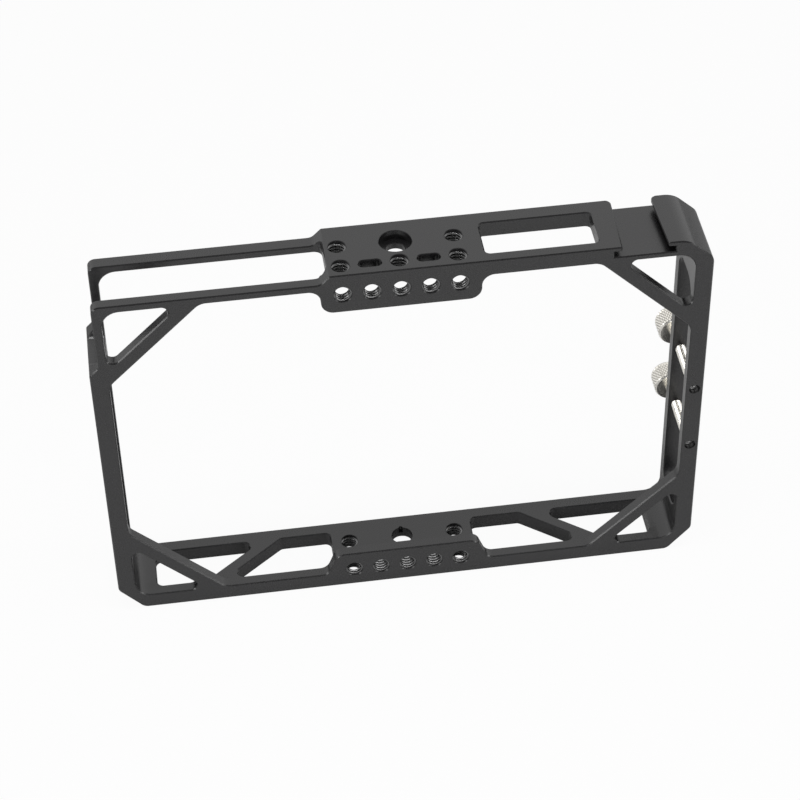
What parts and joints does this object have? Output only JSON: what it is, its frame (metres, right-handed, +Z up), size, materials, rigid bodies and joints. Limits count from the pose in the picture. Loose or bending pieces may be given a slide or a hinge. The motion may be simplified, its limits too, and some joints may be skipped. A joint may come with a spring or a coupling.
{
  "type": "monitor cage",
  "caption": "Open milled aluminium cage round an on-camera monitor, with braced corners, tapped tabs, an accessory shoe and knurled thumb screws.",
  "frame": {"origin": "on the base's underside, in the middle of its four threaded holes", "axes": "+X to the right as seen from the front, +Y from the front face to the back, +Z up"},
  "size_m": [0.2183, 0.0401, 0.1487],
  "materials": {
    "black_anodised": "satin black anodised, milled",
    "nickel_steel": "bright nickel, knurled heads"
  },
  "bodies": {
    "frame": {"cage_frame": "black_anodised"},
    "upper_screw_stud": {"upper_stud": "nickel_steel"},
    "upper_screw_knob": {"upper_knob": "nickel_steel"},
    "lower_screw_stud": {"lower_stud": "nickel_steel"},
    "lower_screw_knob": {"lower_knob": "nickel_steel"}
  },
  "joints": [
    {"name": "upper_screw_travel", "type": "slide", "parent": "frame", "child": "upper_screw_stud", "axis": [0, -1, 0], "range_m": [-0.0147, 0.0049]},
    {"name": "upper_screw_turn", "type": "hinge", "parent": "upper_screw_stud", "child": "upper_screw_knob", "pos_m": [0.10455, 0.02095, 0.0804], "axis": [0, -1, 0], "range_deg": [-7561, 2521]},
    {"name": "lower_screw_travel", "type": "slide", "parent": "frame", "child": "lower_screw_stud", "axis": [0, -1, 0], "range_m": [-0.0147, 0.0049]},
    {"name": "lower_screw_turn", "type": "hinge", "parent": "lower_screw_stud", "child": "lower_screw_knob", "pos_m": [0.10455, 0.02095, 0.0533], "axis": [0, -1, 0], "range_deg": [-7561, 2521]}
  ],
  "couplings": [
    {"joint": "upper_screw_turn", "follows": "upper_screw_travel", "rad_per_m": 8976},
    {"joint": "lower_screw_turn", "follows": "lower_screw_travel", "rad_per_m": 8976}
  ]
}
